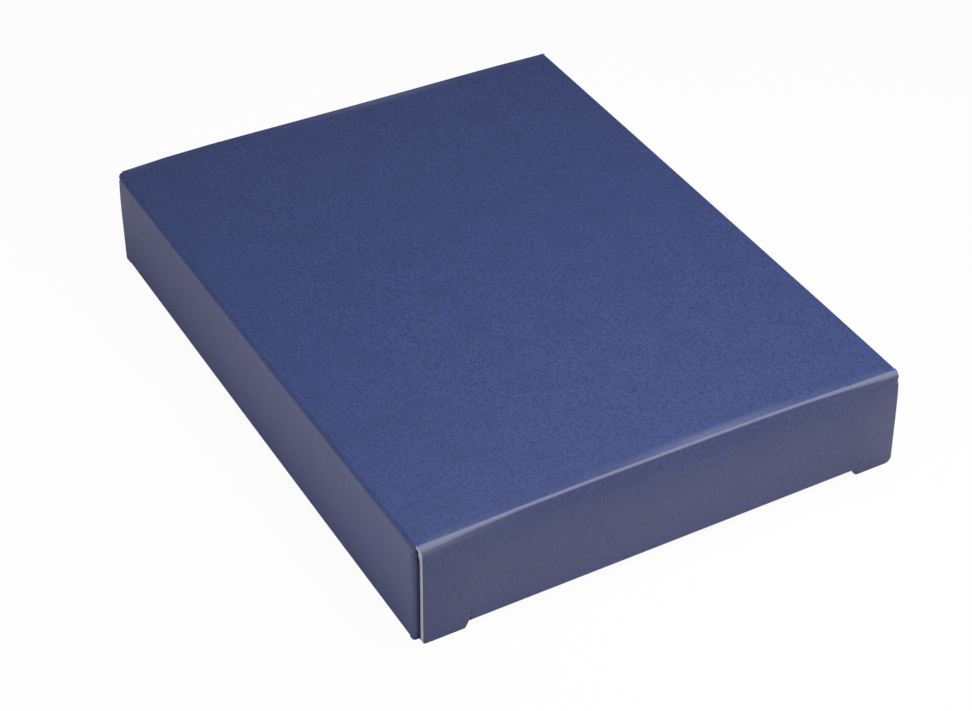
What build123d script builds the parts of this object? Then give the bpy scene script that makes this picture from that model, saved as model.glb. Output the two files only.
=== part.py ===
from build123d import *
import os

# Straight-tuck-end carton of corrugated board, closed and standing on its bottom panel.
# Frame: millimetres, +Z up, +Y along the long side, origin at the centre of the base.
# The front end is at -Y. Each panel, crease and flap of the one-piece blank is a solid of its own.

# Overall size and board
box_width = 226.0            # along X, over the side panels
box_length = 293.0           # along Y, over the closed end panels
box_height = 48.5            # along Z
board = 2.8                  # thickness of the corrugated board
fold_gap = 0.3               # running gap between board surfaces that move past each other

# End panels, folded down from the top panel
closure_inset = 1.8          # raw side edge of an end panel, in from the side panel's face
foot_width = 18.0            # each foot at the bottom corners of an end panel
foot_lift = 0.7              # gap under the feet
foot_slope = 2.6             # sideways run of a foot's slanted inner edge
foot_corner = 2.0            # radius of a foot's outer bottom corner

# Tuck flaps, folded in from the end panels over the bottom panel
tuck_reach = 25.0            # from the tuck crease to the flap's free edge
tuck_side_gap = 5.0          # flap's side edge to the side panel's inner face
tuck_corner = 14.0           # radius of the flap's free corners
tuck_spring = 8.0            # degrees that the folded flap springs up from the bottom panel
slit_clearance = 0.6         # flap's shoulder past the end of the foot, laid out flat

# Dust flaps, folded in from the side panels behind the end panels
dust_reach = 68.0            # from the dust crease to the flap's free edge
dust_top_gap = 0.8           # flap's upper edge to the top panel
dust_root_lift = 1.2         # flap's lower corner at its crease, above the bottom panel
dust_throat = 6.2            # height left for the tuck flap between flap and bottom panel
dust_taper = 9.0             # how far the flap narrows from root to free edge, in height
dust_corner = 6.0            # radius of the flap's free corners

# Glue flap, folded up from the bottom panel inside the right side panel
glue_flap_height = 26.0      # from the bottom panel's upper face
glue_flap_setback = 22.0     # flap's lower corner, in from the ends of the bottom panel
glue_flap_taper = 7.0        # further setback of its upper corner
glue_thickness = 0.2
glue_margin = 4.0            # glue line, in from the flap's edges
side_foot_gap = 0.4          # raw lower edge of the right side panel, above the base

# Worked out from the above
half_width = box_width / 2
half_length = box_length / 2
closure_half = half_width - closure_inset
side_inner = half_width - board                      # inner faces of the side panels
front_face = -half_length                            # outer face of the front end panel
closure_inner = front_face + board                   # inner face of the front end panel
dust_face = closure_inner + fold_gap                 # outer face of a front dust flap
dust_axis = dust_face + board                        # inner face of a front dust flap
bottom_front = closure_inner + fold_gap              # front edge of the bottom panel
glue_corner = side_inner - glue_thickness - board    # inner face of the glue flap
nose_radius = board / 2                              # closure crease, round its axis
mid_closure = front_face + nose_radius               # axis of the closure crease, along y
hinge_height = box_height - nose_radius              # and its height
tuck_height = 2 * board + fold_gap                   # axis of the tuck crease, at y = closure_inner
crease_half = closure_half - foot_width - foot_slope  # half length of the tuck crease
throat_height = board + dust_throat                  # lowest point of a dust flap past its root


def block(x_range, y_range, z_range):
    """A flat piece of board, given by its lowest and highest coordinates."""
    size = [high - low for low, high in (x_range, y_range, z_range)]
    middle = [(high + low) / 2 for low, high in (x_range, y_range, z_range)]
    return Pos(*middle) * Box(*size)


def quarter_crease(axis_plane, start, end, quadrant):
    """A quarter-round fold of the board, one board thickness in radius.

    axis_plane has its origin on the inside corner and its normal along the fold.
    quadrant is the signs of the two in-plane directions that the fold fills.
    """
    corner = Pos(quadrant[0] * board / 2, quadrant[1] * board / 2) * Rectangle(board, board)
    sector = Circle(board) & corner
    return extrude(axis_plane * Pos(0, 0, start) * sector, end - start)


def round_corners(outline, corners, radius):
    """Round the corners of a flat outline that lie nearest to the given points."""
    chosen = [outline.vertices().sort_by_distance(Vector(*corner))[0] for corner in corners]
    return fillet(chosen, radius)


def long_crease(side, upper):
    """Fold along Y between a side panel and the top or bottom panel."""
    height = box_height - board if upper else board
    plane = Plane(origin=(side * side_inner, 0, height), x_dir=(1, 0, 0), z_dir=(0, -1, 0))
    reach = -closure_inner if upper else -bottom_front
    return quarter_crease(plane, -reach, reach, (side, 1 if upper else -1))


def top_panel():
    heights = (box_height - board, box_height)
    return block((-side_inner, side_inner), (closure_inner, -closure_inner), heights)


def bottom_panel():
    return block((-side_inner, glue_corner), (bottom_front, -bottom_front), (0, board))


def left_side_panel():
    thickness = (-half_width, -side_inner)
    return block(thickness, (dust_axis, -dust_axis), (board, box_height - board))


def right_side_panel():
    thickness = (side_inner, half_width)
    return block(thickness, (dust_axis, -dust_axis), (side_foot_gap, box_height - board))


def glue_flap_crease():
    plane = Plane(origin=(glue_corner, 0, board), x_dir=(1, 0, 0), z_dir=(0, -1, 0))
    reach = -bottom_front - glue_flap_setback
    return quarter_crease(plane, -reach, reach, (1, -1))


def glue_flap_outline(margin):
    """Side view of the glue flap, or of the glue on it when margin is not zero."""
    root = -bottom_front - glue_flap_setback - margin
    tip = root - glue_flap_taper
    low = board + margin
    high = board + glue_flap_height - margin
    return make_face(Polyline((-root, low), (root, low), (tip, high), (-tip, high), close=True))


def glue_flap():
    plane = Plane(origin=(glue_corner, 0, 0), x_dir=(0, 1, 0), z_dir=(1, 0, 0))
    return extrude(plane * glue_flap_outline(0), board)


def glue_line():
    plane = Plane(origin=(side_inner, 0, 0), x_dir=(0, 1, 0), z_dir=(1, 0, 0))
    return extrude(plane * glue_flap_outline(glue_margin), -glue_thickness)


def closure_crease():
    """Rounded fold at the end of the top panel, concentric with the end panel's hinge."""
    axis = Plane(origin=(0, mid_closure, hinge_height), x_dir=(0, 1, 0), z_dir=(1, 0, 0))
    nose = extrude(axis * Circle(nose_radius), closure_half, both=True)
    heights = (box_height - board, box_height)
    neck = block((-closure_half, closure_half), (mid_closure, closure_inner), heights)
    return nose + neck


def closure_panel():
    """End panel with a foot at each bottom corner, cut back to the tuck crease between them."""
    top = hinge_height - nose_radius - fold_gap
    toe = closure_half - foot_width
    outline = make_face(Polyline(
        (-closure_half, top), (closure_half, top), (closure_half, foot_lift), (toe, foot_lift),
        (crease_half, tuck_height), (-crease_half, tuck_height), (-toe, foot_lift),
        (-closure_half, foot_lift), close=True))
    feet = [(-closure_half, foot_lift, 0), (closure_half, foot_lift, 0)]
    outline = round_corners(outline, feet, foot_corner)
    plane = Plane(origin=(0, front_face, 0), x_dir=(1, 0, 0), z_dir=(0, -1, 0))
    return extrude(plane * outline, -board)


def tuck_crease():
    """Fold along the lower edge of the end panel, between its feet."""
    plane = Plane(origin=(0, closure_inner, tuck_height), x_dir=(0, 1, 0), z_dir=(1, 0, 0))
    return quarter_crease(plane, -crease_half, crease_half, (-1, -1))


def tuck_flap():
    """Flap with a narrow neck at its crease and full-width shoulders behind the feet."""
    shoulder = tuck_height - foot_lift + slit_clearance
    wide = side_inner - tuck_side_gap
    outline = make_face(Polyline(
        (-crease_half, 0), (crease_half, 0), (crease_half, shoulder), (wide, shoulder),
        (wide, tuck_reach), (-wide, tuck_reach), (-wide, shoulder), (-crease_half, shoulder),
        close=True))
    tips = [(-wide, tuck_reach, 0), (wide, tuck_reach, 0)]
    outline = round_corners(outline, tips, tuck_corner)
    flap = extrude(outline, -board)
    return Pos(0, closure_inner, tuck_height) * Rot(tuck_spring, 0, 0) * flap


def dust_crease(side):
    """Rounded vertical fold from a side panel into its dust flap."""
    plane = Plane(origin=(side * side_inner, dust_axis, 0), x_dir=(1, 0, 0), z_dir=(0, 0, 1))
    low = board + dust_root_lift
    high = box_height - board - dust_top_gap
    return quarter_crease(plane, low, high, (side, -1))


def dust_flap(side):
    """Flap behind the end panel, cut away below so that the tuck flap can slide under it."""
    low = board + dust_root_lift
    high = box_height - board - dust_top_gap
    step = min(tuck_side_gap - fold_gap, throat_height - low)
    tip_low = throat_height + dust_taper / 2
    tip_high = high - dust_taper / 2
    outline = make_face(Polyline(
        (0, low), (0, high), (dust_reach, tip_high), (dust_reach, tip_low),
        (step, throat_height), close=True))
    tips = [(dust_reach, tip_high, 0), (dust_reach, tip_low, 0)]
    outline = round_corners(outline, tips, dust_corner)
    plane = Plane(origin=(side * side_inner, dust_face, 0), x_dir=(-side, 0, 0),
                  z_dir=(0, side, 0))
    return extrude(plane * outline, side * board)


def end_pieces():
    """The eight pieces of the front end, by name without the end."""
    pieces = {
        "closure_crease": closure_crease(),
        "closure_panel": closure_panel(),
        "tuck_crease": tuck_crease(),
        "tuck_flap": tuck_flap(),
    }
    for name, side in (("left", -1), ("right", 1)):
        pieces[name + "_dust_crease"] = dust_crease(side)
        pieces[name + "_dust_flap"] = dust_flap(side)
    return pieces


def back_name(name):
    """Name of a front piece after the half turn that makes it a back one."""
    swap = {"left": "right", "right": "left"}
    return "back_" + "_".join(swap.get(word, word) for word in name.split("_"))


def carton():
    nodes = {
        "top_panel": top_panel(),
        "bottom_panel": bottom_panel(),
        "left_side_panel": left_side_panel(),
        "right_side_panel": right_side_panel(),
        "top_left_crease": long_crease(-1, True),
        "top_right_crease": long_crease(1, True),
        "bottom_left_crease": long_crease(-1, False),
        "glue_flap_crease": glue_flap_crease(),
        "glue_flap": glue_flap(),
        "glue_line": glue_line(),
    }
    for name, piece in end_pieces().items():
        nodes["front_" + name] = piece
        nodes[back_name(name)] = Rot(0, 0, 180) * piece
    return nodes


os.makedirs("parts", exist_ok=True)
for node, solid in carton().items():
    export_step(solid, "parts/" + node + ".step")
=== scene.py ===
import math

import bmesh
import bpy
from bpy.props import FloatProperty, FloatVectorProperty, PointerProperty
from mathutils import Matrix, Vector


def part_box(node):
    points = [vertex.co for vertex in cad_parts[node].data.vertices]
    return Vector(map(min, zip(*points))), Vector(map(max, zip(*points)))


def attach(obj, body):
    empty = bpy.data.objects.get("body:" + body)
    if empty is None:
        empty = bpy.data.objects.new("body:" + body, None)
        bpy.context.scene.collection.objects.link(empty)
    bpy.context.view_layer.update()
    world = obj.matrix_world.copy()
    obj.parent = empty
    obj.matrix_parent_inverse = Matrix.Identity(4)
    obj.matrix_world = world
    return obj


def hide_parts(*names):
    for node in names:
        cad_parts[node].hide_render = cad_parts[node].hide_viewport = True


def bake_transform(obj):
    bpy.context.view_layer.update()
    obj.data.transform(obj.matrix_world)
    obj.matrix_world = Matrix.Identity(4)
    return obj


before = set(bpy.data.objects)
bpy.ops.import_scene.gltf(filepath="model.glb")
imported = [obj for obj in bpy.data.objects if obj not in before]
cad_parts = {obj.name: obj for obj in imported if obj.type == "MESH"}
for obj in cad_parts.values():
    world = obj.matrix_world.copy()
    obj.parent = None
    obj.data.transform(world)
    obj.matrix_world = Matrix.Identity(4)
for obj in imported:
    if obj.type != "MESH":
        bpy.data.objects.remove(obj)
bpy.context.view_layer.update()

bl_info = {
    "name": "Tuck-End Carton",
    "version": (1, 0, 0),
    "blender": (4, 5, 0),
    "location": "3D View > Sidebar > Carton",
    "description": "Builds a creased, printed carton of corrugated board and its studio",
    "category": "Object",
}

# The carton stands on the floor: +Z up, long side along Y, front end at -Y, in metres.
X, Y, Z = Vector((1, 0, 0)), Vector((0, 1, 0)), Vector((0, 0, 1))
TINY = 1e-6                  # two coordinates closer than this are the same
HAIR = 1e-5                  # a plane counts as reached from this far
SAME_WAY = 0.99              # two directions with this product, or more, are the same
SMOOTH_ANGLE = math.radians(38)  # faces that meet at less than this are shaded as one
INNER_CRUSH = 1.8            # press on a board's inner rim, as a share of that on its print
RIM_FACETS = 2               # across a pressed rim

# Places of the carton's faces and creases, as its solids have them
TOP_LOW, TOP_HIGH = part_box("top_panel")
CLOSURE_LOW, CLOSURE_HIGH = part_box("front_closure_panel")
TUCK_CREASE_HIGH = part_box("front_tuck_crease")[1]
DUST_CREASE_LOW, DUST_CREASE_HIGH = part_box("front_left_dust_crease")
DUST_LOW, DUST_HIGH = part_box("front_left_dust_flap")
BOTTOM_LOW, BOTTOM_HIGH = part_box("bottom_panel")
RIGHT_LOW, RIGHT_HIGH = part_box("right_side_panel")
GLUE_FLAP_LOW, GLUE_FLAP_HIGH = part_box("glue_flap")
GLUE_LOW, GLUE_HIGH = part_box("glue_line")
BOARD = TOP_HIGH.z - TOP_LOW.z
HALF_WIDTH = RIGHT_HIGH.x
HEIGHT = TOP_HIGH.z
SIDE_INNER = RIGHT_LOW.x
CLOSURE_INNER = TOP_LOW.y
DUST_SET_BACK = 0.0006       # a dust flap's print stands this far behind its solid's
DUST_AXIS = RIGHT_LOW.y + DUST_SET_BACK
TUCK_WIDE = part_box("front_tuck_flap")[1].x


# ---- settings

def metres(name, description, default):
    return FloatProperty(name=name, description=description, default=default, unit="LENGTH")


def tint(name, description, default):
    return FloatVectorProperty(name=name, description=description, default=default,
                               subtype="COLOR", size=3, min=0, max=1)


class CartonBoard(bpy.types.PropertyGroup):
    fold_reach: metres("Fold reach", "Flat board that belongs to a fold, on each side of it", 0.003)
    fold_radius: metres("Fold radius", "Outer radius of the folds between the panels", 0.0014)
    crush: metres("Crushed edge", "How far the die has pressed down a cut edge", 0.00052)
    soft_radius: metres("Soft fold radius", "Outer radius of a fold that was not pressed sharp", 0.0027)
    lug: metres("Fold lug", "How far an end panel's fold reaches over the corner", 0.0012)
    spare: metres("Spare", "How much further each way an end panel reaches than its solid", 0.0004)
    flute_pitch: metres("Flute pitch", "From one flute of the board to the next", 0.0066)
    flute_mouth: metres("Flute mouth", "Height of the open flutes at a cut edge", 0.0007)
    medium: metres("Medium", "Thickness of the fluted paper between the liners", 0.0003)
    slack: metres("Slack", "How far an end panel sits off the middle", 0.0009)
    lean: metres("Lean", "How far the front fold is pushed in at its middle", 0.0046)


class CartonFlaps(bpy.types.PropertyGroup):
    foot_width: metres("Foot width", "Foot at each lower corner of an end panel", 0.0185)
    foot_corner: metres("Foot corner", "Radius of a foot's outer corner", 0.003)
    tuck_reach: metres("Tuck reach", "Tuck flap, from its crease to its free edge", 0.025)
    tuck_corner: metres("Tuck corner", "Radius of a tuck flap's free corners", 0.014)
    tuck_spring: FloatProperty(
        name="Tuck spring", description="Angle that a folded tuck flap springs up",
        default=math.radians(8), subtype="ANGLE")
    tuck_shoulder: metres("Tuck shoulder", "Shoulders of a tuck flap, from its crease", 0.0058)
    dust_throat: metres("Dust throat", "Lower edge of a dust flap, over the bottom panel", 0.0062)
    dust_step: metres("Dust step", "Run of the slanted cut at a dust flap's root", 0.0047)
    dust_taper: metres("Dust taper", "How much lower a dust flap is at its free edge", 0.009)
    dust_corner: metres("Dust corner", "Radius of a dust flap's free corners", 0.006)


class CartonFinish(bpy.types.PropertyGroup):
    ink: tint("Ink", "Printed navy", (0.028, 0.046, 0.150))
    # lavender mixed onto the end folds: partly rubbed print, partly a painted highlight
    worn_ink: tint("Worn ink", "Print rubbed along a fold", (0.22, 0.23, 0.33))
    paper: tint("Paper", "Unprinted liner inside the carton", (0.70, 0.69, 0.66))
    cut_edge: tint("Cut edge", "Paper fibres at a cut edge", (0.50, 0.50, 0.53))
    glue: tint("Glue", "Dried adhesive", (0.78, 0.75, 0.66))
    gloss: FloatProperty(
        name="Ink roughness", description="Roughness of the satin print", default=0.35,
        min=0, max=1)


class CartonStudio(bpy.types.PropertyGroup):
    floor_size: metres("Floor", "Side of the square floor", 8.0)
    surroundings: FloatProperty(
        name="Surroundings", description="Strength of the even light from all round",
        default=0.20)
    key_power: FloatProperty(
        name="Key power", description="Lamp over the front end", default=2.74,
        unit="POWER")
    fill_power: FloatProperty(
        name="Fill power", description="Lamp on the left", default=3.5, unit="POWER")
    lens: FloatProperty(
        name="Lens", description="Focal length of the camera, in millimetres", default=84.414)


def board_settings():
    return bpy.context.scene.carton_board


def flap_settings():
    return bpy.context.scene.carton_flaps


def finish_settings():
    return bpy.context.scene.carton_finish


def studio_settings():
    return bpy.context.scene.carton_studio


# ---- modelling by hand

def deselect():
    if bpy.context.object and bpy.context.object.mode != "OBJECT":
        bpy.ops.object.mode_set(mode="OBJECT")
    bpy.ops.object.select_all(action="DESELECT")


def hold(piece):
    """Select one piece and nothing else."""
    deselect()
    bpy.context.view_layer.objects.active = piece
    piece.select_set(True)


def reopen(piece):
    """Open a finished piece for editing, with everything picked."""
    hold(piece)
    bpy.ops.object.mode_set(mode="EDIT")
    bpy.ops.mesh.select_all(action="SELECT")


def remove(piece):
    hold(piece)
    bpy.ops.object.delete()


def join(pieces):
    hold(pieces[0])
    for piece in pieces:
        piece.select_set(True)
    bpy.ops.object.join()
    return bpy.context.object


def block(name, low, high):
    """A new block between two corners, with its place in its mesh, open for editing."""
    deselect()
    low, high = Vector(low), Vector(high)
    bpy.ops.mesh.primitive_cube_add(size=1, location=(low + high) / 2, scale=high - low)
    piece = bpy.context.object
    piece.name = name
    piece.data.name = name
    bpy.ops.object.transform_apply(location=True, rotation=True, scale=True)
    bpy.ops.object.mode_set(mode="EDIT")
    return piece


def pick(piece, kind, wanted):
    """Select the vertices, edges or faces that pass a test, and return how many."""
    bpy.ops.mesh.select_mode(type=kind)
    bpy.ops.mesh.select_all(action="DESELECT")
    mesh = bmesh.from_edit_mesh(piece.data)
    items = {"VERT": mesh.verts, "EDGE": mesh.edges, "FACE": mesh.faces}[kind]
    found = [item for item in items if wanted(item)]
    for item in found:
        item.select_set(True)
    mesh.select_flush_mode()
    bmesh.update_edit_mesh(piece.data)
    return len(found)


def must_pick(piece, kind, wanted):
    if not pick(piece, kind, wanted):
        raise RuntimeError(piece.name + ": nothing to select for the next step")


def at(value, place):
    return abs(value - place) < HAIR


def middle(face):
    return face.calc_center_median()


def facing(face, direction):
    return face.normal.dot(direction) > SAME_WAY


def along(edge, direction):
    run = edge.verts[1].co - edge.verts[0].co
    return run.length > TINY and abs(run.normalized().dot(direction)) > SAME_WAY


def both(edge, wanted):
    """An edge is picked by its two ends."""
    return all(wanted(corner.co) for corner in edge.verts)


def cut(piece, place, normal):
    """A loop of new edges where a plane crosses the whole piece."""
    bpy.ops.mesh.select_mode(type="VERT")
    bpy.ops.mesh.select_all(action="SELECT")
    bpy.ops.mesh.bisect(plane_co=place, plane_no=normal, threshold=1e-7)


def cuts(piece, places, axis):
    for place in places:
        cut(piece, axis * place, axis)


def pull(move):
    """Extrude the picked faces."""
    bpy.ops.mesh.extrude_region_move(TRANSFORM_OT_translate={"value": tuple(move)})


def shift(move):
    bpy.ops.transform.translate(value=tuple(move))


def round_edges(width, segments):
    bpy.ops.mesh.bevel(offset=width, segments=segments, affect="EDGES", profile=0.5,
                       clamp_overlap=False)


def round_corners(piece, axis, wanted, width, segments):
    """Round the edges that run along an axis and whose ends pass a test."""
    must_pick(piece, "EDGE", lambda edge: along(edge, axis) and both(edge, wanted))
    round_edges(width, segments)


def turn(angle, axis, centre):
    """Turn what is picked, counter-clockwise about an axis that points at the viewer."""
    letter = "XYZ"[[abs(part) > 0.5 for part in axis].index(True)]
    sense = sum(axis)
    bpy.ops.transform.rotate(value=-angle * sense, orient_axis=letter,
                             center_override=tuple(centre))


def close(piece):
    bpy.ops.object.mode_set(mode="OBJECT")
    return piece


def slide(piece, move):
    """Move a finished piece within its mesh."""
    reopen(piece)
    shift(move)
    close(piece)


def apply_modifier(piece, kind, **values):
    hold(piece)
    bpy.ops.object.modifier_add(type=kind)
    modifier = piece.modifiers[-1]
    for name, value in values.items():
        setattr(modifier, name, value)
    bpy.ops.object.modifier_apply(modifier=modifier.name)


def raw_rim(piece, outward, joined):
    """Press down both rims of a board along its cut edges, the printed one most.

    outward is the way the print faces. joined tells whether the middle of an edge lies where the
    board runs on into a fold, and keeps its full thickness.
    """
    crush = board_settings().crush
    for side, width in ((outward, crush), (-outward, crush * INNER_CRUSH)):
        level = max(corner.co.dot(side) for corner in bmesh.from_edit_mesh(piece.data).verts)

        def on_rim(edge):
            if not both(edge, lambda point: at(point.dot(side), level)):
                return False
            if joined((edge.verts[0].co + edge.verts[1].co) / 2):
                return False
            return any(abs(face.normal.dot(side)) < 0.5 for face in edge.link_faces)

        must_pick(piece, "EDGE", on_rim)
        round_edges(width, RIM_FACETS)


# Hollows between the liners, with their width and places as shares of the flutes' pitch
HOLLOW_HALF = 0.42
HOLLOW_STARTS = ((1, 0.30), (-1, 0.80))   # side of the board's middle, and place of the first
HOLLOW_COLUMNS = 8


def flutes(piece, flute, across, outward):
    """Open the hollows of the corrugated board at the cut edges that cross the flutes.

    flute is the way the flutes run, across the way from one flute to the next.
    """
    settings = board_settings()
    pitch, mouth, medium = settings.flute_pitch, settings.flute_mouth, settings.medium
    corners = [corner.co for corner in piece.data.vertices]
    spans = [(min(point.dot(axis) for point in corners), max(point.dot(axis) for point in corners))
             for axis in (flute, across, outward)]
    (start, end), (first, last), (inner, outer) = spans
    level = (inner + outer) / 2
    half = HOLLOW_HALF * pitch
    swing = (mouth - medium) / 2
    hollows = []
    for side, share in HOLLOW_STARTS:
        centre = first + pitch * share
        low = flute * (start - pitch) + across * (centre - half) + outward * (level - mouth / 2)
        high = flute * (end + pitch) + across * (centre + half) + outward * (level + mouth / 2)
        hollow = block(piece.name + "_hollow", [min(pair) for pair in zip(low, high)],
                       [max(pair) for pair in zip(low, high)])
        places = [centre - half + 2 * half * column / HOLLOW_COLUMNS
                  for column in range(HOLLOW_COLUMNS + 1)]
        cuts(hollow, places[1:-1], across)
        for place in places:
            bed = medium / 2 - swing * math.cos(2 * math.pi * (place - centre) / pitch)
            pick(hollow, "VERT", lambda corner: at(corner.co.dot(across), place)
                 and side * (corner.co.dot(outward) - level) < 0)
            shift(outward * side * (bed + mouth / 2))
        hollows.append(close(hollow))
    hollow = join(hollows)
    count = int((last - first) / pitch) + 1
    apply_modifier(hollow, "ARRAY", use_relative_offset=False, use_constant_offset=True,
                   constant_offset_displace=across * pitch, count=count)
    apply_modifier(piece, "BOOLEAN", operation="DIFFERENCE", object=hollow, solver="EXACT")
    remove(hollow)


def paint(piece, names, choose):
    """Give each face the material that its place calls for, by its place in names."""
    piece.data.materials.clear()
    for name in names:
        piece.data.materials.append(bpy.data.materials[name])
    for face in piece.data.polygons:
        face.material_index = choose(face)


# Depths to which the materials of a board reach at its rim, as shares of how far that is pressed
PRINT_DEPTH, LINER_DEPTH, RIM_DEPTH = 0.72, 0.8, 1.1
SLANT, UPRIGHT = 0.2, 0.02   # outward part of the normal of a slanted face, and of a cut one


def paint_board(piece, outward, ink):
    """Print on the outer face and its pressed rim, plain liner inside, raw paper at the cuts."""
    crush = board_settings().crush
    levels = [corner.co.dot(outward) for corner in piece.data.vertices]
    outer, inner = max(levels), min(levels)

    def choose(face):
        level = sum(piece.data.vertices[index].co.dot(outward) for index in face.vertices)
        level /= len(face.vertices)
        slope = face.normal.dot(outward)
        if level > outer - crush * PRINT_DEPTH and slope > SLANT:
            return 0
        if level < inner + crush * INNER_CRUSH * LINER_DEPTH and slope < -SLANT:
            return 1
        return 2 if abs(slope) < UPRIGHT or level > outer - crush * RIM_DEPTH else 3

    paint(piece, [ink, "Plain liner", "Cut edge", "Fluted medium"], choose)
    rim = piece.data.attributes.new("rim", "FLOAT", "POINT")
    for index, level in enumerate(levels):
        rim.data[index].value = min(1.0, max(0.0, (outer - level) / crush))


def loop_places(half, count):
    """Evenly spaced loops, so that neighbouring pieces bow alike."""
    return [half * (2 * step / count - 1) for step in range(1, count)]


LOOPS = {
    "X": (loop_places(0.110, 10), X),
    "Y": (loop_places(0.140, 12), Y),
    "Z": ((0.0128, 0.0205, 0.0282, 0.0340, 0.0375, 0.0402), Z),
}


def loops(piece, directions="XYZ"):
    """Loops that let a flat piece follow the bow of the carton."""
    reopen(piece)
    for letter in directions:
        cuts(piece, *LOOPS[letter])
    close(piece)


# A handled carton is a little out of true: where each corner has gone, in X and Z. A corner is
# named by its side of the middle in X, Y and Z.
CORNERS = {
    (-1, -1, -1): (0.0011, 0), (-1, -1, 1): (0.0014, 0.00045),
    (-1, 1, -1): (0.0003, 0.0027), (-1, 1, 1): (0.0003, 0.00045),
    (1, -1, -1): (-0.0011, 0.0004), (1, -1, 1): (-0.0027, 0.00025),
    (1, 1, -1): (0, 0), (1, 1, 1): (0.0003, -0.0005),
}
# Bulge of the long sides at their middle, along X, by side and level
BELLY = {(-1, -1): -0.0002, (-1, 1): -0.00035, (1, -1): 0, (1, 1): 0.0001}
SAG = 0.0006                 # of the back edge of the top, at its middle
SKEW = 0.0012                # how far the back right corner has gone forward
# Knocked corners of the top, by their side and end, and where they have gone
DROOP = {(-1, 1): (0.0006, -0.0011, -0.0009), (1, -1): (-0.0003, 0.0003, -0.0003)}
SAG_PULL = 0.3               # draws the lowest point of the sag to the right
LATTICE = (9, 9, 7)          # points that the carton is pressed by, along X, Y and Z
LAST_ROW, LAST_TWO = 0.9, 0.5  # what lies past these is in the lattice's last row or two rows
LEAN_BELOW, DROOP_BELOW = 0.22, 0.4   # what is left of the lean and the droop a row lower


def out_of_true(u, v, w):
    """How far a place has moved, with u, v and w from -1 to 1 across the whole carton."""
    move = Vector((0, 0, 0))
    for (side, end, level), (along_x, along_z) in CORNERS.items():
        share = (1 + side * u) * (1 + end * v) * (1 + level * w) / 8
        move += Vector((along_x, 0, along_z)) * share
    for (side, level), push in BELLY.items():
        move.x += push * (1 + side * u) * (1 + level * w) / 4 * (1 - v * v)
    if v < -LAST_ROW and w > LAST_TWO:
        middle_share = (1 - u ** 4) * (1 if w > LAST_ROW else LEAN_BELOW)
        move.y += board_settings().lean * middle_share
    move.z -= SAG * (1 - (u - SAG_PULL) ** 2) * (1 - u * u) * (1 + v) / 2 * max(0, w)
    move.y -= SKEW * (1 + u) * (1 + v) / 4
    for (side, end), droop in DROOP.items():
        if side * u > LAST_ROW and end * v > LAST_ROW and w > LAST_TWO:
            move += Vector(droop) * (1 if w > LAST_ROW else DROOP_BELOW)
    return move


def bow(piece):
    """Press the piece into the shape of the handled carton."""
    deselect()
    bpy.ops.object.add(type="LATTICE", location=(0, 0, HEIGHT / 2))
    guide = bpy.context.object
    size = Vector((2 * HALF_WIDTH, -2 * CLOSURE_LOW.y, HEIGHT))
    guide.scale = size
    guide.data.points_u, guide.data.points_v, guide.data.points_w = LATTICE
    for point in guide.data.points:
        move = out_of_true(*(2 * part for part in point.co))
        point.co_deform = point.co_deform + Vector(part / whole for part, whole in zip(move, size))
    apply_modifier(piece, "LATTICE", object=guide)
    remove(guide)


def smooth(piece):
    hold(piece)
    bpy.ops.object.shade_smooth_by_angle(angle=SMOOTH_ANGLE)


def check_closed(piece):
    """A piece of board is one closed skin."""
    mesh = bmesh.new()
    mesh.from_mesh(piece.data)
    loose = [edge for edge in mesh.edges if not edge.is_manifold]
    mesh.free()
    if loose:
        raise RuntimeError(f"{piece.name} has {len(loose)} open edges")


def settle(piece, node):
    """Last steps on a piece: bow it, shade it, and let it stand for its solid."""
    bow(piece)
    smooth(piece)
    check_closed(piece)
    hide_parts(node)


def sleeve_board(piece, outward, node):
    """Last steps on a flat board of the sleeve."""
    loops(piece)
    paint_board(piece, outward, "Printed liner Y")
    settle(piece, node)
    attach(piece, "sleeve")


def back_name(name):
    """Name of a front piece after the half turn that makes it a back one."""
    swap = {"left": "right", "right": "left", "front": "back"}
    return "_".join(swap.get(word, word) for word in name.split("_"))


def copy_to_back(piece):
    """The same piece at the other end, turned half round, with a mesh of its own."""
    hold(piece)
    bpy.ops.object.duplicate()
    other = bpy.context.object
    other.name = back_name(piece.name)
    other.data.name = other.name
    reopen(other)
    turn(math.pi, Z, (0, 0, 0))
    return close(other)


def both_ends(piece):
    """Each end's name, with the front piece or its copy at the back."""
    return {"front": piece, "back": copy_to_back(piece)}.items()


# ---- folds

ARM_ROWS = 5                 # of faces along a flat arm of a fold
ROUND_FACETS = 10            # round a fold
ROUND_START = 0.8            # least distance of a fold's outer side from its inside, in boards
LUG_ROOT = 1 / 8             # part of a lug that goes straight out, before its end slants
WORN_END = ((0, 0.72), (0.0010, 0.90))   # distances in from a worn end, and thickness left there
BENDING = 0.12               # part of the radius over which a fold's rubbing and painted highlight set in
END_FACE = 0.8               # part along the fold of the normal of a face at its end
LUG_SIDE = 0.6               # and at most this much for a face beside it


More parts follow.
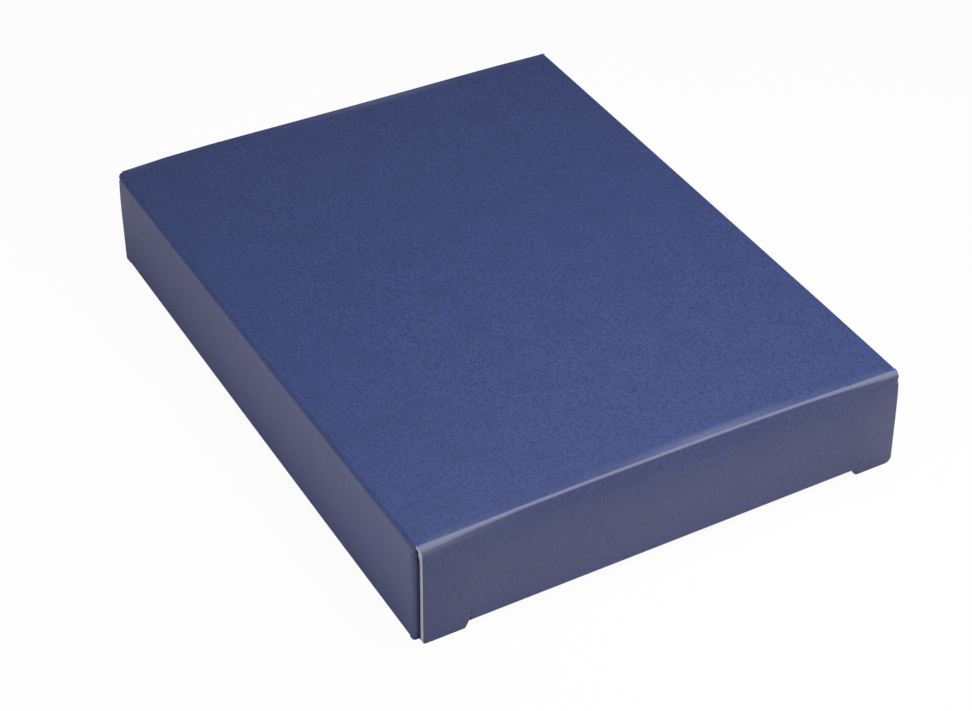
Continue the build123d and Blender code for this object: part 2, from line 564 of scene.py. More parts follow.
def fold(name, corner, first, outward, nose, arm_a, arm_b, ink, radius=None, tip_shift=(0, 0),
         spring=0, lugs=None, sharpen=None, wear=None, veil=None, skirt=None,
         worn_end=0, raw=False):
    """A creased strip of board that joins two panels.

    It is made lying along X, with the inside of the fold at the origin, one flat arm towards +Y
    and the other towards -Z, and then turned into place. corner is the place of the inside of
    the fold, first the way the first arm runs and outward the way that arm's print faces.
    nose, arm_a and arm_b are the lowest and highest places along the fold of its rounded part
    and its arms. tip_shift slants the ends of the second arm, and spring turns that arm up.
    lugs tells how far each end of a raw fold reaches past its place at the top. sharpen gives
    the share of the radius that is left at a place along the fold; wear gives the rubbing of the
    print there together with a painted highlight, veil the dullness of the flat beside the fold
    together with a painted sheen, and skirt the rubbing of the face below the fold together with
    a painted highlight. worn_end is the side whose end has thinned with use, or 0, and raw tells
    that the ends show the cut paper.
    """
    settings = board_settings()
    reach = settings.fold_reach
    radius = radius or settings.fold_radius
    third = first.cross(outward)
    sense = sum(third)
    place = Matrix((third, first, outward)).transposed().to_4x4()
    place.translation = corner - third * corner.dot(third)

    def local(span):
        ends = sorted(sense * value for value in span)
        return ends[0], ends[1]

    nose_top, arm_top = nose[1], arm_a[1]
    nose, arm_a, arm_b = local(nose), local(arm_a), local(arm_b)
    if sense < 0:
        tip_shift = (tip_shift[1], tip_shift[0])
        lugs = lugs[::-1] if lugs else None
    piece = block(name, (nose[0], -BOARD, 0), (nose[1], 0, BOARD))
    for span in (arm_a, arm_b):
        for value in span:
            if nose[0] + TINY < value < nose[1] - TINY:
                cut(piece, X * value, X)

    for span, normal, way in ((arm_a, Y, Y * reach), (arm_b, -Z, -Z * reach)):
        must_pick(piece, "FACE", lambda face: facing(face, normal)
                  and span[0] < middle(face).x < span[1] and middle(face).y < TINY)
        pull(way)
        for side, value in ((-1, span[0]), (1, span[1])):
            limit = nose[0] if side < 0 else nose[1]
            if side * (value - limit) > TINY:
                must_pick(piece, "FACE", lambda face: facing(face, X * side)
                          and middle(face).dot(way) > TINY * reach)
                pull(X * (value - limit))
    for side, slant in ((0, tip_shift[0]), (1, -tip_shift[1])):
        if abs(slant) > TINY:
            must_pick(piece, "VERT", lambda corner: at(corner.co.z, -reach)
                      and at(corner.co.x, arm_b[side]))
            shift(X * slant)
    for row in range(1, ARM_ROWS):
        cut(piece, Y * (reach * row / ARM_ROWS), Y)
        cut(piece, -Z * (reach * row / ARM_ROWS), Z)
    round_corners(piece, X, lambda point: at(point.y, -BOARD) and at(point.z, BOARD),
                  radius, ROUND_FACETS)

    def outer(point):
        """On the outer side of the rounded part."""
        away = math.hypot(point.y, point.z)
        return point.y < HAIR and point.z > -HAIR and away > ROUND_START * BOARD

    def past(place):
        """At an end of the fold or beyond it."""
        return not nose[0] + HAIR < place < nose[1] - HAIR

    if lugs:
        for side, value, lug in ((-1, nose[0], lugs[0]), (1, nose[1], lugs[1])):
            must_pick(piece, "FACE", lambda face: facing(face, X * side)
                      and at(middle(face).x, value) and middle(face).z > 0)
            pull(X * side * lug * LUG_ROOT)
            turn(side * math.atan(lug / BOARD), Y, (value + side * lug * LUG_ROOT, 0, 0))

        def on_rim(edge):
            centre = (edge.verts[0].co + edge.verts[1].co) / 2
            turns = sorted(abs(face.normal.x) for face in edge.link_faces)
            return turns[0] < LUG_SIDE and turns[-1] > END_FACE and past(centre.x) and (
                at(centre.y, -BOARD) or outer(centre))

        must_pick(piece, "EDGE", on_rim)
        round_edges(settings.crush, RIM_FACETS)
    if worn_end:
        for inset, share in WORN_END:
            end = sense * worn_end * (nose[1] - inset)
            if inset:
                cut(piece, X * end, X)
            must_pick(piece, "VERT", lambda corner: at(corner.co.x, end) and corner.co.y < -TINY)
            bpy.ops.transform.resize(value=(1, share, 1), center_override=(end, 0, 0))
    along_fold = [places for places, axis in LOOPS.values() if abs(third.dot(axis)) > 0.5][0]
    places = [sense * place for place in along_fold]
    cuts(piece, places, X)
    if sharpen:
        for along_x in places:
            must_pick(piece, "VERT", lambda corner: at(corner.co.x, along_x)
                      and corner.co.y < -BOARD + radius + HAIR
                      and corner.co.z > BOARD - radius - HAIR)
            share = sharpen(sense * along_x)
            bpy.ops.transform.resize(value=(1, share, share), center_override=(0, -BOARD, BOARD))
    if spring:
        must_pick(piece, "VERT", lambda corner: corner.co.z < -TINY)
        turn(spring, X, (0, 0, 0))
    close(piece)

    # share of rubbed print and painted highlight at each point, with a painted sheen on the flat beside
    # the fold
    rub_and_highlight_layer = piece.data.attributes.new("wear", "FLOAT", "POINT")
    rim = piece.data.attributes.new("rim", "FLOAT", "POINT")
    ends = {index for face in piece.data.polygons
            if abs(face.normal.x) > END_FACE and past(face.center.x)
            for index in face.vertices}
    for index, vertex in enumerate(piece.data.vertices):
        point = vertex.co
        bent = min(BOARD - point.z, point.y + BOARD)
        if wear and outer(point):
            size = radius * (sharpen(sense * point.x) if sharpen else 1)
            bending = min(1.0, max(0.0, bent / (BENDING * size)))
            low = min(1.0, (BOARD - point.z) / size) * skirt(sense * point.x)
            flat = (veil if point.z - BOARD > -BOARD - point.y else skirt)(sense * point.x)
            rub_and_highlight_layer.data[index].value = max(wear(sense * point.x) * bending + low, flat)
        elif veil and at(point.z, BOARD):
            rub_and_highlight_layer.data[index].value = veil(sense * point.x) * max(0.0, 1 - point.y / reach)
        elif skirt and at(point.y, -BOARD):
            rub_and_highlight_layer.data[index].value = skirt(sense * point.x) * max(0.0, 1 + 2 * point.z / reach)
        rim.data[index].value = 1.0 if lugs and index in ends else 0.0

    def choose(face):
        centre = face.center
        if abs(face.normal.x) > END_FACE:
            return 2 if lugs or raw else 0
        if arm_top < sense * centre.x < nose_top - HAIR and not lugs:
            return 0
        if at(centre.y, reach) or (centre.z < -reach + HAIR and not spring):
            return 2
        return 0 if outer(centre) or face.normal.z > 0.3 or face.normal.y < -0.3 else 1

    paint(piece, [ink, "Plain liner", "Cut edge"], choose)
    piece.data.transform(place)
    return piece


def bend(piece, body, other, corner, first, outward, spring=0):
    """Bake the fold's transform into its mesh; body and other are not used."""
    reach = board_settings().fold_reach
    away = (first + outward) / 2
    end = reach * (math.cos(spring) - math.sin(spring))
    corner + away * reach
    corner - away * end
    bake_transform(piece)


# ---- materials

class Value:
    """A socket of a material, so that its sums read as plain expressions."""

    def __init__(self, recipe, socket):
        self.recipe = recipe
        self.socket = socket

    def sum(self, operation, first, second):
        return self.recipe.node("ShaderNodeMath", {"operation": operation}, {0: first, 1: second})

    def __add__(self, other):
        return self.sum("ADD", self, other)

    def __radd__(self, other):
        return self.sum("ADD", other, self)

    def __mul__(self, other):
        return self.sum("MULTIPLY", self, other)

    def __rmul__(self, other):
        return self.sum("MULTIPLY", other, self)


class Recipe:
    """The nodes of one material, or of the world."""

    def __init__(self, name, kind="materials"):
        self.owner = getattr(bpy.data, kind).new(name)
        self.owner.use_nodes = True
        self.tree = self.owner.node_tree
        self.tree.nodes.clear()

    def node(self, kind, settings=None, inputs=None, output=0):
        made = self.tree.nodes.new(kind)
        for name, value in (settings or {}).items():
            setattr(made, name, value)
        for name, value in (inputs or {}).items():
            if isinstance(value, Value):
                self.tree.links.new(value.socket, made.inputs[name])
            else:
                made.inputs[name].default_value = value
        return Value(self, made.outputs[output]) if made.outputs else None

    def between(self, low, high, value):
        """0 below low, 1 above high."""
        return self.node("ShaderNodeMapRange", {"interpolation_type": "SMOOTHSTEP"},
                         {"Value": value, "From Min": low, "From Max": high})

    def mix(self, share, first, second):
        return self.node("ShaderNodeMix", {"data_type": "RGBA"},
                         {0: share, 6: first, 7: second}, output=2)

    def noise(self, place, scale, detail, rough):
        return self.node("ShaderNodeTexNoise", {}, {
            "Vector": place, "Scale": scale, "Detail": detail, "Roughness": rough})

    def place(self):
        return self.node("ShaderNodeTexCoord", output=3)

    def stretched(self, place, letter, share):
        """Places for a grain that is longer along one axis."""
        scale = [share if name == letter else 1 for name in "XYZ"]
        return self.node("ShaderNodeMapping", {}, {"Vector": place, "Scale": scale})

    def axis(self, place, letter):
        return self.node("ShaderNodeSeparateXYZ", {}, {0: place}, output="XYZ".index(letter))

    def attribute(self, name):
        return self.node("ShaderNodeAttribute", {"attribute_name": name}, output=2)

    def finish(self, colour, roughness, height, distance, ior=1.5):
        bump = self.node("ShaderNodeBump", {}, {
            "Strength": 1.0, "Distance": distance, "Height": height})
        shader = self.node("ShaderNodeBsdfPrincipled", {}, {
            "Base Color": colour, "Roughness": roughness, "Normal": bump, "IOR": ior})
        self.node("ShaderNodeOutputMaterial", {}, {"Surface": shader})
        return self.owner


def opaque(colour, factor=1.0):
    return (colour[0] * factor, colour[1] * factor, colour[2] * factor, 1)


def printed_liner(letter):
    """Satin navy print on white liner, with the flutes showing through across one axis."""
    settings = finish_settings()
    recipe = Recipe("Printed liner " + letter)
    place = recipe.place()
    fibres = recipe.noise(recipe.stretched(place, letter, 0.55), scale=1450, detail=3.0, rough=0.62)
    flecks = recipe.noise(place, scale=620, detail=2.0, rough=0.5)
    cloud = recipe.noise(place, scale=60, detail=3.0, rough=0.6)
    ink = settings.ink
    tone = recipe.mix(recipe.between(0.34, 0.66, fibres), opaque(ink, 0.62), opaque(ink, 1.38))
    tone = recipe.mix(recipe.between(0.38, 0.64, flecks) * 0.6, tone, opaque(ink, 1.32))
    tone = recipe.mix(recipe.between(0.40, 0.70, cloud) * 0.35, tone, opaque(ink, 0.84))
    patches = recipe.between(0.10, 0.55, recipe.noise(place, scale=240, detail=4.0, rough=0.65))
    # rubbed print along the end folds mixed with a painted highlight: lighter lavender where the
    # attribute is high
    scuff_and_highlight = recipe.attribute("wear") * (0.55 + patches * 0.45)
    tone = recipe.mix(scuff_and_highlight, tone, opaque(settings.worn_ink))
    fray_and_highlight = recipe.between(0.62, 0.80, recipe.attribute("rim")
                            + recipe.noise(place, scale=1300, detail=3.0, rough=0.7) * 0.5)
    tone = recipe.mix(fray_and_highlight, tone, opaque(settings.cut_edge))
    wave = recipe.node("ShaderNodeMath", {"operation": "SINE"}, {
        0: recipe.axis(place, letter) * (2 * math.pi / board_settings().flute_pitch)})
    height = wave * 0.35 + fibres * 0.6 + recipe.noise(place, scale=2600, detail=2.0, rough=0.6) * 0.3
    roughness = settings.gloss + fibres * 0.10 + scuff_and_highlight * 0.50
    return recipe.finish(tone, roughness, height, distance=0.00003, ior=1.62)


def plain_paper(name, colour, grain, bump):
    recipe = Recipe(name)
    place = recipe.place()
    fibres = recipe.noise(place, scale=grain, detail=4.0, rough=0.7)
    cloud = recipe.noise(place, scale=70, detail=3.0, rough=0.6)
    tone = recipe.mix(fibres, opaque(colour, 0.80), opaque(colour, 1.10))
    tone = recipe.mix(recipe.between(0.4, 0.7, cloud) * 0.4, tone,
                      (colour[0] * 0.97, colour[1] * 0.93, colour[2] * 0.86, 1))
    return recipe.finish(tone, 0.85 + fibres * 0.1, fibres, bump)


def dried_glue():
    settings = finish_settings()
    recipe = Recipe("Dried glue")
    place = recipe.place()
    ripple = recipe.noise(place, scale=240, detail=3.0, rough=0.6)
    tone = recipe.mix(ripple, opaque(settings.glue, 0.9), opaque(settings.glue, 1.05))
    return recipe.finish(tone, 0.3 + ripple * 0.2, ripple, distance=0.0001)


# ---- operators

class CARTON_OT_finishes(bpy.types.Operator):
    """Mix the print, paper and glue"""
    bl_idname = "carton.finishes"
    bl_label = "Finishes"

    def execute(self, context):
        settings = finish_settings()
        for letter in "XYZ":
            printed_liner(letter)
        plain_paper("Plain liner", settings.paper, grain=700, bump=0.00003)
        plain_paper("Cut edge", settings.cut_edge, grain=1800, bump=0.00012)
        medium = [part * 0.9 for part in settings.paper]
        plain_paper("Fluted medium", medium, grain=1200, bump=0.00005)
        dried_glue()
        return {"FINISHED"}


BOTTOM_HOLLOW = {"thickness": 0.0006, "depth": -0.0008}   # between the liners at its ends


class CARTON_OT_sleeve_panels(bpy.types.Operator):
    """Top, bottom and side panels of the sleeve"""
    bl_idname = "carton.sleeve_panels"
    bl_label = "Sleeve panels"

    def execute(self, context):
        reach = board_settings().fold_reach
        side, end = SIDE_INNER - reach, -CLOSURE_INNER - reach

        top = close(block("top_board", (-side, -end, TOP_LOW.z), (side, end, TOP_HIGH.z)))
        sleeve_board(top, Z, "top_panel")

        bottom = block("bottom_board", (-side, BOTTOM_LOW.y, 0),
                       (BOTTOM_HIGH.x - reach, BOTTOM_HIGH.y, BOARD))
        raw_rim(bottom, -Z, lambda point: at(abs(point.x), side)
                or at(point.x, BOTTOM_HIGH.x - reach))
        for way in (-1, 1):
            must_pick(bottom, "FACE", lambda face: facing(face, Y * way))
            bpy.ops.mesh.inset(**BOTTOM_HOLLOW)
        sleeve_board(close(bottom), -Z, "bottom_panel")

        end = -DUST_AXIS - reach
        left = close(block("left_side_board", (-HALF_WIDTH, -end, BOARD + reach),
                           (-SIDE_INNER, end, TOP_LOW.z - reach)))
        sleeve_board(left, -X, "left_side_panel")

        right = block("right_side_board", (SIDE_INNER, -end, RIGHT_LOW.z),
                      (HALF_WIDTH, end, TOP_LOW.z - reach))
        raw_rim(right, X, lambda point: point.z > RIGHT_LOW.z + HAIR)
        flutes(close(right), Z, Y, X)
        sleeve_board(right, X, "right_side_panel")
        return {"FINISHED"}


TOP_FOLD_SHARE = 0.8         # radius of the top's long folds, as a share of that of a soft fold


class CARTON_OT_long_folds(bpy.types.Operator):
    """Folds that run the length of the sleeve"""
    bl_idname = "carton.long_folds"
    bl_label = "Long folds"

    def execute(self, context):
        board = board_settings()
        top_end, side_end = -CLOSURE_INNER, -DUST_AXIS
        bottom_end = BOTTOM_HIGH.y
        glue_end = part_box("glue_flap_crease")[1].y
        crisp, soft = board.fold_radius, board.soft_radius * TOP_FOLD_SHARE
        taper = glue_taper()
        # Name, inside corner, ways of the first arm and its print, half lengths of the rounded
        # part and the two arms, slant of the second arm's ends, and radius
        rows = (
            ("top_left_fold", (-SIDE_INNER, 0, TOP_LOW.z), X, Z,
             top_end, top_end, side_end, 0, soft),
            ("top_right_fold", (SIDE_INNER, 0, TOP_LOW.z), -X, Z,
             top_end, top_end, side_end, 0, soft),
            ("bottom_left_fold", (-SIDE_INNER, 0, BOARD), Z, -X,
             side_end, side_end, bottom_end, 0, crisp),
            ("glue_flap_fold", (BOTTOM_HIGH.x, 0, BOARD), -X, -Z,
             glue_end, bottom_end, glue_end, taper, crisp),
        )
        for name, corner, first, outward, nose, arm_a, arm_b, slant, radius in rows:
            piece = fold(name, Vector(corner), first, outward, (-nose, nose), (-arm_a, arm_a),
                         (-arm_b, arm_b), "Printed liner Y", radius=radius,
                         tip_shift=(slant, slant), worn_end=1 if name == "top_left_fold" else 0,
                         raw=radius == crisp)
            settle(piece, name.replace("fold", "crease"))
            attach(piece, "sleeve")
        return {"FINISHED"}


def glue_taper_top():
    """Half length of the glue flap's upper edge."""
    return max(vertex.co.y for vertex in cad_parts["glue_flap"].data.vertices
               if at(vertex.co.z, GLUE_FLAP_HIGH.z))


def glue_taper():
    """How much shorter the glue flap has become, at each end, where its fold ends."""
    reach = board_settings().fold_reach
    return (GLUE_FLAP_HIGH.y - glue_taper_top()) * reach / (GLUE_FLAP_HIGH.z - BOARD)


# Lines of dried glue
BEAD_LIFTS = (-0.006, 0, 0.006)  # from the middle of the glue flap's height
BEAD_MARGIN = 0.006          # from the ends of the flap's upper edge
BEAD_HALF = 0.0015
BEAD_PARTS = 40
BEAD_ROUNDING = 0.00008


def bead_width(part, lift):
    """Width of a bead at one of its parts, as a share of the plain one. It comes and goes."""
    return 1 + 0.35 * math.sin(part * 1.7 + lift * 900) * math.cos(part * 0.6)


class CARTON_OT_glue_flap(bpy.types.Operator):
    """Glue flap inside the right side panel, and the glue that holds it"""
    bl_idname = "carton.glue_flap"
    bl_label = "Glue flap"

    def execute(self, context):
        reach = board_settings().fold_reach
        low, high = GLUE_FLAP_LOW, GLUE_FLAP_HIGH
        root = high.y - glue_taper()
        flap = block("glue_flap_board", (low.x, -root, BOARD + reach), (high.x, root, high.z))
        for way in (-1, 1):
            must_pick(flap, "VERT", lambda corner: at(corner.co.z, high.z)
                      and way * corner.co.y > 0)
            shift(Y * way * (glue_taper_top() - root))
        raw_rim(flap, X, lambda point: at(point.z, BOARD + reach))
        flutes(close(flap), Z, Y, X)
        sleeve_board(flap, X, "glue_flap")

        middle_z = (GLUE_LOW.z + GLUE_HIGH.z) / 2
        run = glue_taper_top() - BEAD_MARGIN
        places = loop_places(run, BEAD_PARTS)
        beads = []
        for lift in BEAD_LIFTS:
            bead = block("glue_bead", (GLUE_LOW.x, -run, middle_z + lift - BEAD_HALF),
                         (GLUE_HIGH.x, run, middle_z + lift + BEAD_HALF))
            cuts(bead, places, Y)
            for part, place in enumerate(places):
                pick(bead, "VERT", lambda corner: at(corner.co.y, place))
                bpy.ops.transform.resize(value=(1, 1, bead_width(part, lift)),
                                         center_override=(GLUE_LOW.x, place, middle_z + lift))
            round_corners(bead, Z, lambda point: at(abs(point.y), run), BEAD_ROUNDING,
                          segments=1)
            beads.append(close(bead))
        glue = join(beads)
        glue.name = "glue_beads"
        paint(glue, ["Dried glue"], lambda face: 0)
        bow(glue)
        smooth(glue)
        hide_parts("glue_line")
        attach(glue, "sleeve")
        return {"FINISHED"}


FOOT_DROP = 0.0005           # how much lower the feet reach than the solid's
FOOT_LAP = 0.0005            # from a foot's inner edge to the end of the tuck fold behind it
LEFT_FOOT_SHARE = 0.4        # radius of the left foot's outer corner, as a share of the right's
TOE_RADII = (0.0012, 0.0006)     # of the inner corners of the right foot and the left one
SMALL_LUG = 0.0003           # how far a fold reaches over the corner at its other ends
# How much shorter an end fold is than its panel at its left and right, as seen from the front
FRONT_SHORT, BACK_SHORT = (0, 0.0004), (0.0009, 0.0003)

# Wear of the end folds, with a painted highlight and sheen on them, from 0, new, to 1, bare
END_START, END_RUN = 0.45, 0.55  # start and length of a fold's ends, as shares of half of it
RUBBED_AND_LIT, RUBBED_AND_LIT_LESS = 0.68, 0.06     # along the fold, and how much less at its ends
DULL_AND_SHEEN_PATCH, DULL_AND_SHEEN_ENDS = 0.26, 0.12   # dull print and painted sheen on the flat beside the fold
DULL_AND_SHEEN_PLACE, DULL_AND_SHEEN_SPREAD = 0.022, 0.035   # along X
# rubbing and painted highlight on the face below the fold, at its left and right ends
FRAYED_AND_HIGHLIT_LEFT, FRAYED_AND_HIGHLIT_RIGHT = 0.45, 0.10
SHARP, BLUNTER = 0.42, 0.58  # share of the radius left in its middle, and more at its ends


class CARTON_OT_end_panels(bpy.types.Operator):
    """End panels with their feet, and the folds that they hang on"""
    bl_idname = "carton.end_panels"
    bl_label = "End panels"

    def execute(self, context):
        board, flaps = board_settings(), flap_settings()
        reach = board.fold_reach
        ink = "Printed liner Z"
        half, foot = CLOSURE_HIGH.x + board.spare, CLOSURE_LOW.z - FOOT_DROP
        crease, tuck = TUCK_CREASE_HIGH.x, TUCK_CREASE_HIGH.z
        top = TOP_LOW.z - reach
        toe, root = half - flaps.foot_width, crease - FOOT_LAP
        panel = block("front_closure_board", (-half, CLOSURE_LOW.y, tuck + reach),
                      (half, CLOSURE_HIGH.y, top))
        cuts(panel, (-root, root), X)
        for drop in (reach, tuck - foot):
            must_pick(panel, "FACE", lambda part: facing(part, -Z) and abs(middle(part).x) > root)
            pull(-Z * drop)
        for way in (-1, 1):
            must_pick(panel, "VERT", lambda corner: at(corner.co.z, foot)
                      and at(corner.co.x, way * root))
            shift(X * way * (toe - root))
        for place, radius in ((half, flaps.foot_corner),
                              (-half, LEFT_FOOT_SHARE * flaps.foot_corner),
                              (toe, TOE_RADII[0]), (-toe, TOE_RADII[1])):
            round_corners(panel, Y, lambda point: at(point.z, foot) and at(point.x, place),
                          radius, segments=6)

        def joined(point):
            if at(point.z, top):
                return True
            return tuck - HAIR < point.z and abs(point.x) < crease + HAIR

        raw_rim(panel, -Y, joined)
        flutes(close(panel), X, Z, -Y)
        loops(panel)
        paint_board(panel, -Y, ink)
        for end, piece in both_ends(panel):
            slide(piece, X * board.slack)
            settle(piece, end + "_closure_panel")
            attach(piece, end + "_closure")

        side = SIDE_INNER - reach

        def toward_end(place):
            """0 along the middle of the fold, rising to 1 at its ends."""
            return max(0.0, (abs(place) / half - END_START) / END_RUN) ** 2

        # rubbing of the print along the fold, together with a painted highlight
        def rubbed_and_highlit(place):
            return RUBBED_AND_LIT - RUBBED_AND_LIT_LESS * toward_end(place)

        def dulled_and_sheen(place):
            """The flat board beside the fold is dull and carries a painted sheen right of the middle
            and at both ends.
            """
            patch = DULL_AND_SHEEN_PATCH * math.exp(-((place - DULL_AND_SHEEN_PLACE) / DULL_AND_SHEEN_SPREAD) ** 2)
            return patch + DULL_AND_SHEEN_ENDS * toward_end(place)

        def fray_and_highlight(place):
            """The face below the fold shows rubbing and a painted highlight near its ends, most of all
            at the left one.
            """
            return (FRAYED_AND_HIGHLIT_LEFT if place < 0 else FRAYED_AND_HIGHLIT_RIGHT) * toward_end(place)

        rows = (
            ("front", 1, FRONT_SHORT, (board.lug, SMALL_LUG)),
            ("back", -1, BACK_SHORT, (SMALL_LUG, SMALL_LUG)),
        )
        for end, way, short, lugs in rows:
            corner = Vector((0, way * CLOSURE_INNER, TOP_LOW.z))
            span = (board.slack - half + short[0], board.slack + half - short[1])
            strip = fold(end + "_closure_fold", corner, Y * way, Z, span, (-side, side), span, ink,
                         radius=board.soft_radius, lugs=lugs,
                         sharpen=lambda place: SHARP + BLUNTER * toward_end(place),
                         wear=rubbed_and_highlit, veil=dulled_and_sheen, skirt=fray_and_highlight)
            settle(strip, end + "_closure_crease")
            bend(strip, "sleeve", end + "_closure", corner, Y * way, Z)
        return {"FINISHED"}


class CARTON_OT_tuck_flaps(bpy.types.Operator):
    """Tuck flaps under the end panels, and their folds"""
    bl_idname = "carton.tuck_flaps"
    bl_label = "Tuck flaps"

    def execute(self, context):
        board, flaps = board_settings(), flap_settings()
        ink = "Printed liner Y"
        crease, level = TUCK_CREASE_HIGH.x, TUCK_CREASE_HIGH.z
        hinge = Vector((0, CLOSURE_INNER, level))
        tip = CLOSURE_INNER + flaps.tuck_reach
        shoulder = CLOSURE_INNER + flaps.tuck_shoulder
        flap = block("front_tuck_board", (-TUCK_WIDE, shoulder, level - BOARD),
                     (TUCK_WIDE, tip, level))
        cuts(flap, (-crease, crease), X)
        must_pick(flap, "FACE", lambda face: facing(face, -Y) and abs(middle(face).x) < crease)
        pull(-Y * (flaps.tuck_shoulder - board.fold_reach))
        round_corners(flap, Z, lambda point: at(point.y, tip) and at(abs(point.x), TUCK_WIDE),
                      flaps.tuck_corner, segments=12)
        raw_rim(flap, -Z, lambda point: at(point.y, CLOSURE_INNER + board.fold_reach))
        flutes(close(flap), X, Y, -Z)
        loops(flap, "X")
        paint_board(flap, -Z, ink)
        reopen(flap)
        turn(flaps.tuck_spring, X, hinge)
        close(flap)
        for end, piece in both_ends(flap):
            slide(piece, X * board.slack)
            settle(piece, end + "_tuck_flap")
            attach(piece, end + "_tuck")

        span = (-crease, crease)
        strip = fold("front_tuck_fold", hinge, Z, -Y, span, span, span, ink,
                     spring=flaps.tuck_spring)
        for end, piece in both_ends(strip):
            way = 1 if end == "front" else -1
            slide(piece, X * board.slack)
            settle(piece, end + "_tuck_crease")
            bend(piece, end + "_closure", end + "_tuck", Vector((0, way * hinge.y, level)),
                 Z, -Y * way, spring=flaps.tuck_spring)
        return {"FINISHED"}


# Gap that a dust fold leaves under it, and over it to the top panel
DUST_FOLD_GAPS = (0.0004, 0.0002)


class CARTON_OT_dust_flaps(bpy.types.Operator):
    """Dust flaps behind the end panels, and their folds"""
    bl_idname = "carton.dust_flaps"
    bl_label = "Dust flaps"

    def execute(self, context):
        flaps = flap_settings()
        reach = board_settings().fold_reach
        ink = "Printed liner X"
        low, high = DUST_CREASE_LOW.z, DUST_CREASE_HIGH.z
        throat = BOARD + flaps.dust_throat
        length = DUST_HIGH.x - DUST_LOW.x
        rise = (throat - low) * reach / flaps.dust_step
        fall = flaps.dust_taper / 2 * reach / length
        for side, name in ((-1, "left"), (1, "right")):
            out = X * side
            root, tip = side * (SIDE_INNER - reach), side * (SIDE_INNER - length)
            step = side * (SIDE_INNER - flaps.dust_step)
            ends = sorted((root, tip))
            flap = block("front_" + name + "_dust_board",
                         (ends[0], DUST_LOW.y + DUST_SET_BACK, throat),
                         (ends[1], DUST_HIGH.y + DUST_SET_BACK, high))
            cut(flap, X * step, X)
            moves = (
                (tip, throat, flaps.dust_taper / 2), (tip, high, -flaps.dust_taper / 2),
                (root, throat, low + rise - throat), (root, high, -fall),
                (step, high, -fall * flaps.dust_step / reach),
            )
            for place, level, lift in moves:
                must_pick(flap, "VERT", lambda corner: at(corner.co.x, place)
                          and at(corner.co.z, level))
                shift(Z * lift)
            round_corners(flap, Y, lambda point: at(point.x, tip), flaps.dust_corner, segments=8)
            raw_rim(flap, -Y, lambda point: at(point.x, root))
            flutes(close(flap), Z, X, -Y)
            loops(flap, "XZ")
            paint_board(flap, -Y, ink)
            for piece in (flap, copy_to_back(flap)):
                settle(piece, piece.name.replace("board", "flap"))
                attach(piece, piece.name.replace("_board", ""))

            corner = Vector((side * SIDE_INNER, DUST_AXIS, 0))
            floor = BOARD + reach if side < 0 else RIGHT_LOW.z
            strip = fold("front_" + name + "_dust_fold", corner, Y, out,
                         (DUST_FOLD_GAPS[0], TOP_LOW.z - DUST_FOLD_GAPS[1]),
                         (floor, TOP_LOW.z - reach), (low, high), ink, tip_shift=(rise, fall))
            for piece, way in ((strip, 1), (copy_to_back(strip), -1)):
                settle(piece, piece.name.replace("fold", "crease"))
                bend(piece, "sleeve", piece.name.replace("_fold", ""), corner * way, Y * way,
                     out * way)
        return {"FINISHED"}


WHITE = (1, 1, 1, 1)
FLOOR_COLOUR = (0.775, 0.735, 0.76, 1)
FLOOR_GLOW = 0.955           # share of plain white in the floor that the camera sees
FLOOR_LEVEL = -0.0001
LAMP_AIM = Vector((0.02, -0.08, 0.03))
CAMERA_PLACE = (-0.39340187, -0.69526721, 0.61798470)
CAMERA_LOOK = Vector((0.38912987, 0.68812226, -0.61242573))
CAMERA_UP = Vector((0.29625598, 0.53602235, 0.79051401))


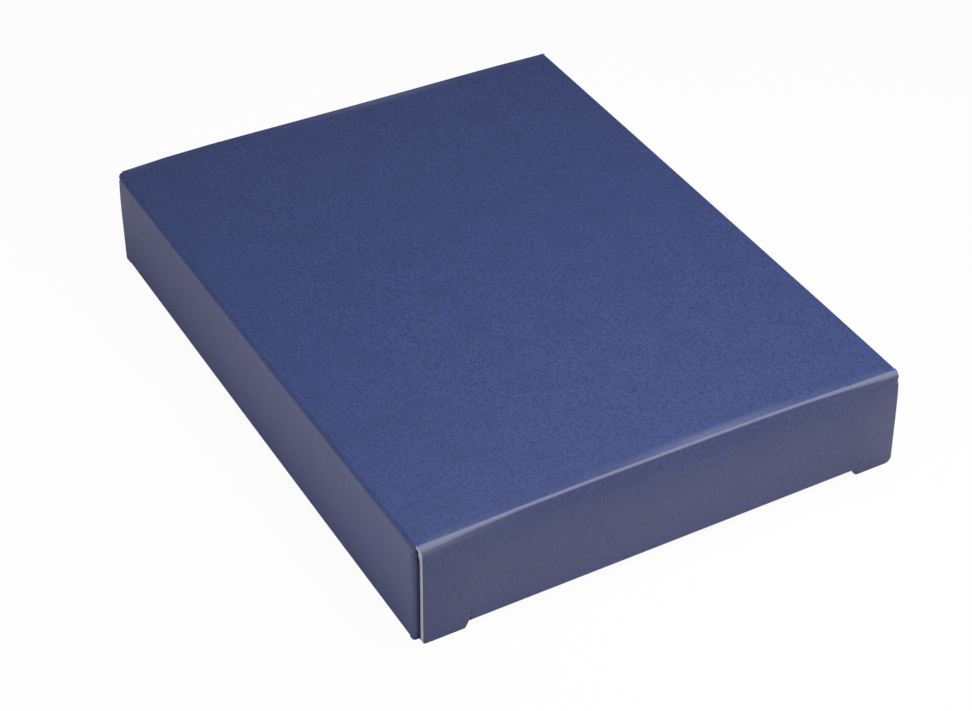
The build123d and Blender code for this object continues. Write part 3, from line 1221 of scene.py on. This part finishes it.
class CARTON_OT_studio(bpy.types.Operator):
    """Floor, soft lamps and camera"""
    bl_idname = "carton.studio"
    bl_label = "Studio"

    def execute(self, context):
        settings = studio_settings()
        deselect()
        bpy.ops.mesh.primitive_plane_add(size=settings.floor_size, location=(0, 0, FLOOR_LEVEL))
        floor = bpy.context.object
        floor.name = "floor"
        recipe = Recipe("Floor paper")
        seen = recipe.node("ShaderNodeLightPath")
        paper = recipe.node("ShaderNodeBsdfDiffuse", {}, {"Color": FLOOR_COLOUR})
        white = recipe.node("ShaderNodeEmission", {}, {"Color": WHITE, "Strength": 1.0})
        mixed = recipe.node("ShaderNodeMixShader", {}, {0: seen * FLOOR_GLOW, 1: paper, 2: white})
        recipe.node("ShaderNodeOutputMaterial", {}, {"Surface": mixed})
        floor.data.materials.append(recipe.owner)

        recipe = Recipe("Studio", "worlds")
        seen = recipe.node("ShaderNodeLightPath")
        around = recipe.node("ShaderNodeBackground", {}, {
            "Color": WHITE, "Strength": settings.surroundings})
        behind = recipe.node("ShaderNodeBackground", {}, {"Color": WHITE, "Strength": 1.0})
        mixed = recipe.node("ShaderNodeMixShader", {}, {0: seen, 1: around, 2: behind})
        recipe.node("ShaderNodeOutputWorld", {}, {"Surface": mixed})
        bpy.context.scene.world = recipe.owner

        # Name, place, size and power
        lamps = (
            ("key_lamp", (0.06, -0.19, 0.46), 0.40, settings.key_power),
            ("fill_lamp", (-0.95, -0.10, 0.16), 0.60, settings.fill_power),
        )
        for name, place, size, power in lamps:
            deselect()
            bpy.ops.object.light_add(type="AREA", location=place)
            lamp = bpy.context.object
            lamp.name = name
            lamp.data.size = size
            lamp.data.energy = power
            lamp.rotation_euler = (LAMP_AIM - Vector(place)).to_track_quat("-Z", "Y").to_euler()

        deselect()
        bpy.ops.object.camera_add(location=CAMERA_PLACE)
        camera = bpy.context.object
        camera.name = "camera"
        turned = Matrix((CAMERA_LOOK.cross(CAMERA_UP), CAMERA_UP, -CAMERA_LOOK)).transposed()
        camera.rotation_euler = turned.to_euler()
        camera.data.sensor_width = 36
        camera.data.lens = settings.lens
        camera.data.clip_start, camera.data.clip_end = 0.05, 40
        bpy.context.scene.camera = camera
        bpy.context.scene.view_settings.view_transform = "Standard"
        return {"FINISHED"}


STEPS = (CARTON_OT_finishes, CARTON_OT_sleeve_panels, CARTON_OT_long_folds, CARTON_OT_glue_flap,
         CARTON_OT_end_panels, CARTON_OT_tuck_flaps, CARTON_OT_dust_flaps, CARTON_OT_studio)


class CARTON_PT_panel(bpy.types.Panel):
    bl_idname = "CARTON_PT_panel"
    bl_label = "Tuck-end carton"
    bl_space_type = "VIEW_3D"
    bl_region_type = "UI"
    bl_category = "Carton"

    def draw(self, context):
        for step in STEPS:
            self.layout.operator(step.bl_idname)
        for name in SETTINGS:
            box = self.layout.box()
            group = getattr(context.scene, name)
            for setting in group.bl_rna.properties.keys():
                if setting not in ("rna_type", "name"):
                    box.prop(group, setting)


SETTINGS = {"carton_board": CartonBoard, "carton_flaps": CartonFlaps,
            "carton_finish": CartonFinish, "carton_studio": CartonStudio}


def register():
    for group in SETTINGS.values():
        bpy.utils.register_class(group)
    for step in STEPS:
        bpy.utils.register_class(step)
    bpy.utils.register_class(CARTON_PT_panel)
    for name, group in SETTINGS.items():
        setattr(bpy.types.Scene, name, PointerProperty(type=group))


def unregister():
    for name in SETTINGS:
        delattr(bpy.types.Scene, name)
    bpy.utils.unregister_class(CARTON_PT_panel)
    for step in reversed(STEPS):
        bpy.utils.unregister_class(step)
    for group in reversed(list(SETTINGS.values())):
        bpy.utils.unregister_class(group)


def main():
    register()
    for step in STEPS:
        family, name = step.bl_idname.split(".")
        getattr(getattr(bpy.ops, family), name)()


if __name__ == "__main__":
    main()
